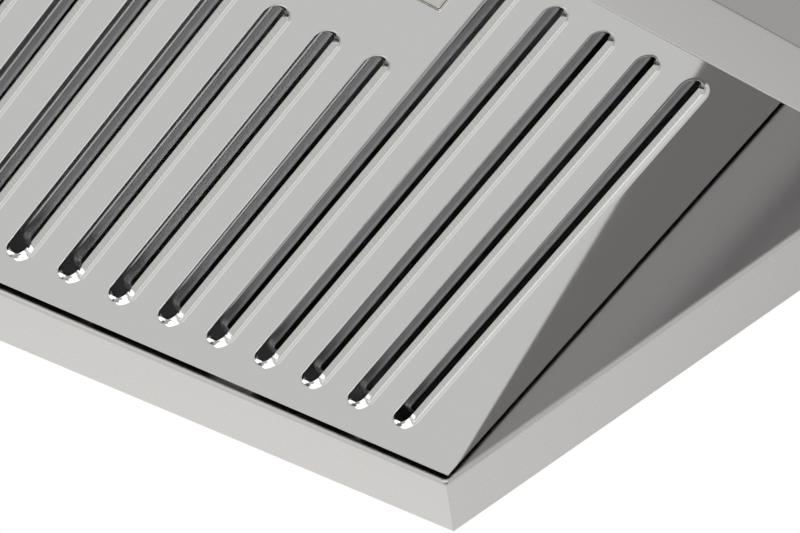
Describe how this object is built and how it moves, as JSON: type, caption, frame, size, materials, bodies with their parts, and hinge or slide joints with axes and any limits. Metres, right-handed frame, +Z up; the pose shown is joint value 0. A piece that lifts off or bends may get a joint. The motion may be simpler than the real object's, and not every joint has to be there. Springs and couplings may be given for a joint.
{
  "type": "range hood insert",
  "caption": "Built-in range hood insert with a flat rim, sloped slotted baffle filters, sliding latches, lamps, push buttons and a ducted blower with backdraft dampers.",
  "frame": {"origin": "centre of the footprint at the underside of the rim", "axes": "+Z up towards the duct, -Y to the front of the cooker, +X to the right of a viewer who faces the hood from the front"},
  "size_m": [0.8732, 0.3544, 0.345],
  "materials": {
    "steel": "brushed along the length",
    "filter": "brushed across the slots",
    "latch": "brushed along the slots",
    "trim": "polished",
    "lens": "frosted",
    "dark": "satin",
    "board": "matt",
    "galvanised": "galvanised",
    "shaft": "ground",
    "rubber": "matt",
    "button": "gloss"
  },
  "bodies": {
    "housing": {"rear_wall": "steel", "front_wall": "steel", "left_wall": "steel", "right_wall": "steel", "top_plate": "galvanised", "lamp_panel": "steel", "lamp_left_trim": "trim", "lamp_left_lens": "lens", "lamp_left_body": "dark", "lamp_right_trim": "trim", "lamp_right_lens": "lens", "lamp_right_body": "dark", "button_trim": "trim", "control_board": "board", "blower_box": "galvanised", "scroll_wrap": "galvanised", "scroll_left_side": "galvanised", "scroll_right_side": "galvanised", "motor": "dark", "motor_bracket": "galvanised", "duct_collar": "galvanised", "damper_rod": "shaft", "terminal_box": "galvanised", "terminal_cover": "galvanised", "cable_bushing": "rubber", "shell_rivets": "shaft"},
    "impeller": {"impeller": "galvanised", "impeller_hub": "galvanised", "shaft": "shaft"},
    "damper_front": {"damper_front": "galvanised"},
    "damper_rear": {"damper_rear": "galvanised"},
    "filter_left": {"filter_left_pan": "filter", "filter_left_back": "filter", "filter_left_spacers": "filter", "filter_left_guides": "filter"},
    "latch_left": {"filter_left_slider": "latch", "filter_left_grip": "latch"},
    "filter_right": {"filter_right_pan": "filter", "filter_right_back": "filter", "filter_right_spacers": "filter", "filter_right_guides": "filter"},
    "latch_right": {"filter_right_slider": "latch", "filter_right_grip": "latch"},
    "button_1": {"button_1": "button"},
    "button_2": {"button_2": "button"},
    "button_3": {"button_3": "button"},
    "button_4": {"button_4": "button"},
    "button_5": {"button_5": "button"}
  },
  "joints": [
    {"name": "impeller_spin", "type": "hinge", "parent": "housing", "child": "impeller", "pos_m": [0, -0.03, 0.21297], "axis": [1, 0, 0], "continuous": true},
    {"name": "damper_rear_swing", "type": "hinge", "parent": "housing", "child": "damper_rear", "pos_m": [0, 0.03663, 0.3198], "axis": [1, 0, 0], "range_deg": [0, 75]},
    {"name": "damper_front_swing", "type": "hinge", "parent": "housing", "child": "damper_front", "pos_m": [0, 0.03663, 0.3198], "axis": [-1, 0, 0], "range_deg": [0, 75]},
    {"name": "filter_left_swing", "type": "hinge", "parent": "housing", "child": "filter_left", "pos_m": [0, 0.14686, 0.0064], "axis": [1, 0, 0], "range_deg": [0, 35]},
    {"name": "latch_left_slide", "type": "slide", "parent": "filter_left", "child": "latch_left", "axis": [0, -0.9583, 0.2857], "range_m": [0, 0.007]},
    {"name": "filter_right_swing", "type": "hinge", "parent": "housing", "child": "filter_right", "pos_m": [0, 0.14686, 0.0064], "axis": [1, 0, 0], "range_deg": [0, 35]},
    {"name": "latch_right_slide", "type": "slide", "parent": "filter_right", "child": "latch_right", "axis": [0, -0.9583, 0.2857], "range_m": [0, 0.007]},
    {"name": "button_1_press", "type": "slide", "parent": "housing", "child": "button_1", "axis": [0, -0.8508, 0.5255], "range_m": [0, 0.002], "stiffness_N_per_m": 400, "springref_m": -0.001},
    {"name": "button_2_press", "type": "slide", "parent": "housing", "child": "button_2", "axis": [0, -0.8508, 0.5255], "range_m": [0, 0.002], "stiffness_N_per_m": 400, "springref_m": -0.001},
    {"name": "button_3_press", "type": "slide", "parent": "housing", "child": "button_3", "axis": [0, -0.8508, 0.5255], "range_m": [0, 0.002], "stiffness_N_per_m": 400, "springref_m": -0.001},
    {"name": "button_4_press", "type": "slide", "parent": "housing", "child": "button_4", "axis": [0, -0.8508, 0.5255], "range_m": [0, 0.002], "stiffness_N_per_m": 400, "springref_m": -0.001},
    {"name": "button_5_press", "type": "slide", "parent": "housing", "child": "button_5", "axis": [0, -0.8508, 0.5255], "range_m": [0, 0.002], "stiffness_N_per_m": 400, "springref_m": -0.001}
  ]
}
